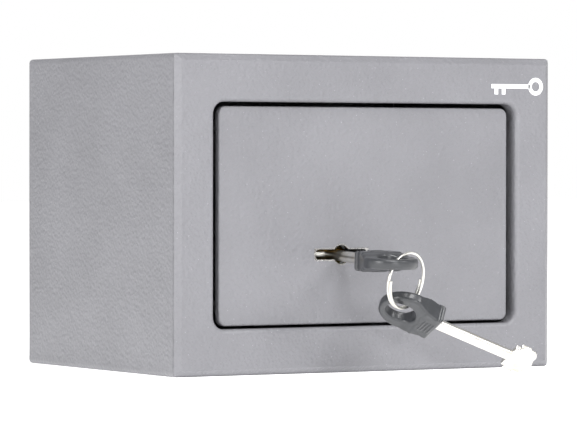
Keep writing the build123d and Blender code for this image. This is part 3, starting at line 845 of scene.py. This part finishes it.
class SAFE_OT_keys(bpy.types.Operator):
    """The inserted key and the spare key: moulded heads, grip ribs, grooved shafts and stepped bits"""

    bl_idname = "safe.keys"
    bl_label = "Keys"

    def execute(self, context):
        sizes = context.scene.safe_keys
        for prefix in ("key", "spare_key"):
            place, shape = key_place(prefix)
            self.head(prefix, place, shape, sizes)
            self.ribs(prefix, place, shape, sizes)
            self.blade(prefix, place, shape, sizes)
        return {"FINISHED"}

    def head(self, prefix, place, shape, sizes):
        mesh = shade(mesh_from(prefix + "_head", *moulded_bow(shape, sizes), place), 50)
        settle(prefix + "_moulded_head", mesh, BODY_OF[prefix + "_bow"], "black_plastic", prefix + "_bow")

    def ribs(self, prefix, place, shape, sizes):
        middle = shape["collar_x"] - sizes.collar_length / 2 - 0.3 * MM
        first = middle - sizes.rib_pitch * (sizes.rib_count - 1) / 2
        height = shape["collar_half"]
        points = [(first + index * sizes.rib_pitch, 0, height) for index in range(sizes.rib_count)]
        upper = repeated(prefix + "_ribs", self.rib(sizes), points, slot="black_plastic")
        lower = upper.copy()
        lower.transform(Matrix.Rotation(math.pi, 4, "X"))
        mesh = merged(prefix + "_grip_ribs", upper, lower)
        mesh.transform(place)
        settle(prefix + "_grip_ribs", mesh, BODY_OF[prefix + "_bow"], "black_plastic")

    def rib(self, sizes):
        """A low half-round bar along y that thins towards both ends, with its base sunk in the head."""
        half_length, half_width, rise = sizes.rib_length / 2, sizes.rib_width / 2, sizes.rib_rise
        bar_steps = 8
        turns = [math.pi * step / bar_steps for step in range(bar_steps + 1)]
        bar = [(half_width * math.cos(turn), rise * math.sin(turn)) for turn in turns]
        ends = ((-1.0, 0.35), (-0.93, 0.8), (-0.8, 1.0), (0.8, 1.0), (0.93, 0.8), (1.0, 0.35))
        verts = []
        for end, shrink in ends:
            verts += [(x * shrink, end * half_length, z * shrink) for x, z in bar]
            verts.append((0, end * half_length, -rise))
        across = len(bar) + 1
        faces = grid_faces(len(ends), across, closed=False)
        faces += [tuple(range(across)), tuple(range(len(verts) - across, len(verts)))]
        return shade(mesh_from("rib", verts, faces), 60)

    def blade(self, prefix, place, shape, sizes):
        mesh = shade(mesh_from(prefix + "_bit", *joined(shaft(shape, sizes), bits(shape, sizes)), place), 32)
        settle(prefix + "_cut_blade", mesh, BODY_OF[prefix + "_blade"], "nickel", prefix + "_blade")


class SAFE_OT_ring(bpy.types.Operator):
    """Split ring of one and a half turns of flat wire"""

    bl_idname = "safe.ring"
    bl_label = "Split ring"

    def execute(self, context):
        sizes = context.scene.safe_keys
        place, outer, width = self.measured()
        holder = new_object("ring_wire", self.wire(sizes, outer - sizes.ring_depth / 2, width))
        mesh = band_tree().grow(holder, Width=sizes.ring_wire, Depth=sizes.ring_depth, Corner=0.3 * MM,
                                Finish=finish("nickel"))
        bpy.data.objects.remove(holder)
        mesh.transform(place)
        settle("split_ring_wire", shade(mesh, 40), BODY_OF["key_ring"], "nickel", "key_ring")
        return {"FINISHED"}

    def measured(self):
        """Placement, outer radius and width of the packed ring, read from its points."""
        band = node_points("key_ring")
        centre = (band.max(0) + band.min(0)) / 2
        normal = Vector(np.linalg.eigh(np.cov(band.T))[1][:, 0])
        if normal.y > 0:
            normal.negate()
        up = (Vector((0, 0, 1)) - normal * normal.z).normalized()
        side = up.cross(normal)
        flat = (band - centre) @ np.array(normal)
        outer = np.sqrt(((band - centre) ** 2).sum(1) - flat**2).max()
        return placement(side, up, normal, centre), outer, flat.max() - flat.min()

    def wire(self, sizes, radius, width):
        """Line of the wire, which crosses from one layer to the other half way through its turns."""
        curve = bpy.data.curves.new("ring_wire", "CURVE")
        curve.dimensions = "3D"
        line = curve.splines.new("POLY")
        steps, whole_turn = 220, 2 * math.pi * sizes.ring_turns
        line.points.add(steps)
        layer = (width - sizes.ring_wire) / 2
        for step in range(steps + 1):
            share = step / steps
            crossing = smooth_step((whole_turn * share - 1.05 * math.pi) / (0.9 * math.pi))
            turned_in = 1 - smooth_step(share * 8) + smooth_step((share - 0.875) * 8)
            out = radius - sizes.ring_spring * turned_in
            angle = math.pi + whole_turn * share
            height = layer * (1 - 2 * crossing)
            line.points[step].co = (out * math.cos(angle), out * math.sin(angle), height, 1)
        return curve


# ------------------------------------------------------------------ painted shell and sign


class SAFE_OT_finishes(bpy.types.Operator):
    """Paint, plating, brass and felt on the pieces that keep their packed shape"""

    bl_idname = "safe.finishes"
    bl_label = "Finishes"

    def execute(self, context):
        for name, node in NODES.items():
            for slot in node.material_slots:
                slot.material = finish(SLOT_OF[name])
        return {"FINISHED"}


class SAFE_OT_sign(bpy.types.Operator):
    """A plain printed key sign at the front's upper right"""

    bl_idname = "safe.sign"
    bl_label = "Key sign"

    def execute(self, context):
        look = context.scene.safe_finishes
        low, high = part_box("front_frame")
        right, middle = high.x - look.sign_from_side, high.z - look.sign_from_top
        tall, long, ink = look.sign_height, look.sign_length, look.sign_thickness
        half_shank, shank_left = tall * 0.12, right - long
        solids = [
            self.hoop(right - tall / 2, middle, tall / 2, tall * 0.27, ink),
            self.slab(shank_left, right - tall * 0.9, middle - half_shank, middle + half_shank, ink),
        ]
        tooth_wide, tooth_low, tooth_high = tall * 0.24, middle - tall * 0.46, middle - half_shank * 0.9
        for from_end in (0.06, 0.2):
            left = shank_left + long * from_end
            solids.append(self.slab(left, left + tooth_wide, tooth_low, tooth_high, ink))
        place = Matrix.Translation((0, low.y - ink / 2, 0))
        settle("key_sign", mesh_from("key_sign", *joined(*solids), place), BODY_OF["front_frame"], "sign")
        return {"FINISHED"}

    def hoop(self, x, z, outer, inner, ink, steps=48):
        verts = []
        for step in range(steps):
            angle = 2 * math.pi * step / steps
            for radius, y in ((outer, -ink / 2), (outer, ink / 2), (inner, ink / 2), (inner, -ink / 2)):
                verts.append((x + radius * math.cos(angle), y, z + radius * math.sin(angle)))
        return verts, grid_faces(steps, 4)

    def slab(self, left, right, low, high, ink):
        corners = ((left, low), (right, low), (right, high), (left, high))
        verts = [(x, y, z) for y in (-ink / 2, ink / 2) for x, z in corners]
        faces = [(0, 1, 2, 3), (7, 6, 5, 4)]
        faces += [(i, (i + 1) % 4, 4 + (i + 1) % 4, 4 + i) for i in range(4)]
        return verts, faces


# ------------------------------------------------------------------ stage


class SAFE_OT_stage(bpy.types.Operator):
    """Pale floor, soft lights and the camera"""

    bl_idname = "safe.stage"
    bl_label = "Stage"

    def execute(self, context):
        stage = context.scene.safe_stage
        self.floor(stage)
        self.world(context, stage)
        low, high = cad_box
        middle = (low + high) / 2
        self.soft_light("softbox_above", middle, (-0.1, -0.75, 1.5), 0.9, stage.above_power)
        self.soft_light("softbox_left", middle, (-1.7, -0.5, 0.5), 0.9, stage.left_power)
        self.soft_light("softbox_right", middle, (0.95, -1.25, 0.95), 0.6, stage.right_power)
        self.soft_light("softbox_front", middle, (-0.2, -1.7, 0.25), 0.35, stage.front_power)
        self.camera(context, stage)
        return {"FINISHED"}

    def floor(self, stage):
        half = 6.0
        corners = [(-half, -half, 0), (half, -half, 0), (half, half, 0), (-half, half, 0)]
        plane = new_object("floor", mesh_from("floor", corners, [(0, 1, 2, 3)]))
        pale = Finish("pale_floor", Roughness=0.9, Specular_IOR_Level=0.1, Emission_Color=(1, 1, 1, 1),
                      Emission_Strength=stage.floor_glow)
        pale.feed(Base_Color=pale.mixed(pale.noise(0.4), (0.93, 0.93, 0.93), (0.95, 0.95, 0.95)))
        plane.data.materials.append(pale.material)

    def world(self, context, stage):
        world = bpy.data.worlds.new("white_studio")
        world.use_nodes = True
        nodes, links = world.node_tree.nodes, world.node_tree.links
        seen = nodes.new("ShaderNodeLightPath")
        strength = nodes.new("ShaderNodeMapRange")
        strength.inputs["To Min"].default_value = stage.surround
        strength.inputs["To Max"].default_value = 1.0
        links.new(seen.outputs["Is Camera Ray"], strength.inputs["Value"])
        links.new(strength.outputs[0], nodes["Background"].inputs["Strength"])
        nodes["Background"].inputs["Color"].default_value = (1, 1, 1, 1)
        context.scene.world = world
        context.scene.view_settings.view_transform = "Standard"

    def soft_light(self, name, aim, way, size, power):
        lamp = bpy.data.lights.new(name, "AREA")
        lamp.shape, lamp.size, lamp.energy = "DISK", size, power
        made = bpy.data.objects.new(name, lamp)
        bpy.context.scene.collection.objects.link(made)
        made.location = aim + Vector(way)
        made.rotation_euler = (aim - made.location).to_track_quat("-Z", "Y").to_euler()

    def camera(self, context, stage):
        lens = bpy.data.cameras.new("front_left_view")
        lens.lens, lens.sensor_width = stage.focal_length, 36
        lens.clip_start, lens.clip_end = 0.05, 50
        made = bpy.data.objects.new("front_left_view", lens)
        context.scene.collection.objects.link(made)
        heading, rise, roll = stage.view_heading, stage.view_rise, stage.view_roll
        level = math.cos(rise)
        back = Vector((math.sin(heading) * level, -math.cos(heading) * level, math.sin(rise)))
        turned = (-back).to_track_quat("-Z", "Y").to_matrix() @ Matrix.Rotation(roll, 3, "Z")
        made.matrix_world = Matrix.Translation(stage.view_from) @ turned.to_4x4()
        context.scene.camera = made


# ------------------------------------------------------------------ settings


def length(name, description, millimetres):
    return FloatProperty(name=name, description=description, default=millimetres * MM,
                         subtype="DISTANCE", unit="LENGTH")


def colour(name, description, value):
    return FloatVectorProperty(name=name, description=description, default=value,
                               size=3, min=0, max=1, subtype="COLOR")


def number(name, description, value, **settings):
    return FloatProperty(name=name, description=description, default=value, **settings)


def count(name, description, value):
    return IntProperty(name=name, description=description, default=value, min=1)


class SafeFinishes(bpy.types.PropertyGroup):
    """Colours and textures."""

    paint: colour("Paint", "Grey of the powder coat", (0.192, 0.191, 0.206))
    plastic: colour("Plastic", "Charcoal of the key heads", (0.03, 0.032, 0.036))
    nickel: colour("Nickel", "Plating of the blades and the ring", (0.78, 0.77, 0.74))
    pebble_size: length("Pebble size", "Distance between pebbles of the paint", 1.5)
    pebble_depth: number("Pebble depth", "Relief as a share of the pebble size", 0.3)
    flake_spacing: length("Flake spacing", "Cell size of the bright flakes", 1.6)
    paint_edge: length("Paint edge", "Radius that the paint rounds folded edges to", 0.6)
    sign_length: length("Sign length", "Length of the printed key sign", 28)
    sign_height: length("Sign height", "Height of the printed key sign", 8)
    sign_from_side: length("Sign from side", "From the frame's right edge to the sign", 4.5)
    sign_from_top: length("Sign from top", "From the top edge to the sign's middle", 12.6)
    sign_thickness: length("Ink thickness", "Thickness of the printed ink", 0.06)


class SafeKeys(bpy.types.PropertyGroup):
    """Sizes of the keys, the ring and the keyhole."""

    keyhole_round: length("Keyhole round", "Diameter of the keyhole's middle", 8.4)
    keyhole_slot: length("Keyhole slot", "Length of the keyhole's slot", 27)
    keyhole_slot_rise: length("Slot height", "Height of the keyhole's slot", 4.6)
    collar_length: length("Collar length", "Thick part of the head by the shaft", 8)
    collar_width: length("Collar width", "Width of the head at its ears", 16.4)
    collar_ramp: length("Collar ramp", "Length of the step up to the collar", 1.0)
    wedge_end: length("Wedge end", "Where the head starts to swell, from its middle", 1.0)
    shoulder_thickness: length("Shoulder thickness", "Thickness of the head where the collar begins", 7.6)
    ear_rise: length("Ear rise", "How far the ears stand out", 0.9)
    ear_length: length("Ear length", "Length of the ears along the key", 1.6)
    head_thickness: length("Head thickness", "Thickness of the head beside its hole", 5.1)
    rim_thickness: length("Rim thickness", "Thickness of the head at its end", 4.4)
    hole_length: length("Hole length", "Ring hole along the key", 13.3)
    hole_width: length("Hole width", "Ring hole across the key", 13)
    hole_from_end: length("Hole from end", "Material outside the ring hole", 3.2)
    edge_round: length("Edge round", "Rounding of the head's outer edges", 1.4)
    hole_round: length("Hole round", "Rounding of the ring hole's edges", 0.9)
    outline_step: length("Outline step", "Distance between outline points", 0.4)
    outline_smoothing: count("Outline smoothing", "Passes that soften the outline", 3)
    rib_count: count("Ribs", "Grip ribs on each face", 4)
    rib_pitch: length("Rib pitch", "Distance between grip ribs", 1.5)
    rib_length: length("Rib length", "Length of a grip rib", 8)
    rib_width: length("Rib width", "Width of a grip rib", 0.8)
    rib_rise: length("Rib rise", "Height of a grip rib", 0.3)
    shaft_across: length("Shaft diameter", "Diameter of the shaft", 4.8)
    groove_width: length("Groove width", "Half width of the shaft's grooves", 0.5)
    groove_depth: length("Groove depth", "Depth of the shaft's grooves", 0.4)
    tip_chamfer: length("Tip chamfer", "Chamfer on the shaft's end", 0.6)
    bit_length: length("Bit length", "Length of the bits along the shaft", 11)
    bit_span: length("Bit span", "Across both bits", 20.5)
    bit_thickness: length("Bit thickness", "Thickness of the bits", 2.4)
    ring_wire: length("Ring wire", "Width of the ring's flat wire", 1.05)
    ring_depth: length("Ring depth", "Depth of the ring's flat wire", 1.2)
    ring_spring: length("Ring spring", "How far the wire's ends turn in", 0.1)
    ring_turns: number("Ring turns", "Turns of wire in the ring", 1.5)


class SafeFixings(bpy.types.PropertyGroup):
    """Sizes of the fixings."""

    weld_across: length("Weld diameter", "Diameter of a spot weld's button", 4.5)
    weld_count: count("Spot welds", "Spot welds down the hinge strip", 5)
    strip_thickness: length("Strip thickness", "Thickness of the hinge strip", 1.5)


class SafeStage(bpy.types.PropertyGroup):
    """Light and view."""

    surround: number("Surround", "Light from the white surround", 0.42)
    floor_glow: number("Floor glow", "Light given off by the pale floor", 0.65)
    above_power: number("Above", "Softbox above the front", 22, unit="POWER")
    left_power: number("Left", "Softbox to the left", 16, unit="POWER")
    right_power: number("Right", "Softbox to the right", 8, unit="POWER")
    front_power: number("Front", "Softbox in front", 6, unit="POWER")
    view_from: FloatVectorProperty(name="View from", description="Camera position", subtype="TRANSLATION",
                                   unit="LENGTH", default=(-0.9021, -1.528, 0.09436))
    view_heading: number("Heading", "Camera's turn round the safe", math.radians(-30.556), subtype="ANGLE")
    view_rise: number("Rise", "Camera's angle above the level", math.radians(0.853), subtype="ANGLE")
    view_roll: number("Roll", "Camera's tilt to one side", math.radians(0.074), subtype="ANGLE")
    focal_length: number("Focal length", "Camera's focal length", 241.5, subtype="DISTANCE_CAMERA")


SETTINGS = {
    "safe_finishes": SafeFinishes,
    "safe_keys": SafeKeys,
    "safe_fixings": SafeFixings,
    "safe_stage": SafeStage,
}
OPERATORS = (SAFE_OT_finishes, SAFE_OT_sign, SAFE_OT_fixings, SAFE_OT_keys, SAFE_OT_ring, SAFE_OT_stage)


class SAFE_PT_panel(bpy.types.Panel):
    """Lists the safe's sizes and building steps"""

    bl_idname = "SAFE_PT_panel"
    bl_label = "Small key safe"
    bl_space_type = "VIEW_3D"
    bl_region_type = "UI"
    bl_category = "Safe"

    def draw(self, context):
        for name, group in SETTINGS.items():
            box = self.layout.box()
            box.label(text=group.__doc__)
            for setting in group.__annotations__:
                box.prop(getattr(context.scene, name), setting)
        for operator in OPERATORS:
            self.layout.operator(operator.bl_idname)


CLASSES = (*SETTINGS.values(), *OPERATORS, SAFE_PT_panel)


def register():
    for item in CLASSES:
        bpy.utils.register_class(item)
    for name, group in SETTINGS.items():
        setattr(bpy.types.Scene, name, PointerProperty(type=group))


def unregister():
    for name in SETTINGS:
        delattr(bpy.types.Scene, name)
    for item in reversed(CLASSES):
        bpy.utils.unregister_class(item)


def main():
    register()
    for operator in OPERATORS:
        group, name = operator.bl_idname.split(".")
        getattr(getattr(bpy.ops, group), name)()


if __name__ == "__main__":
    main()
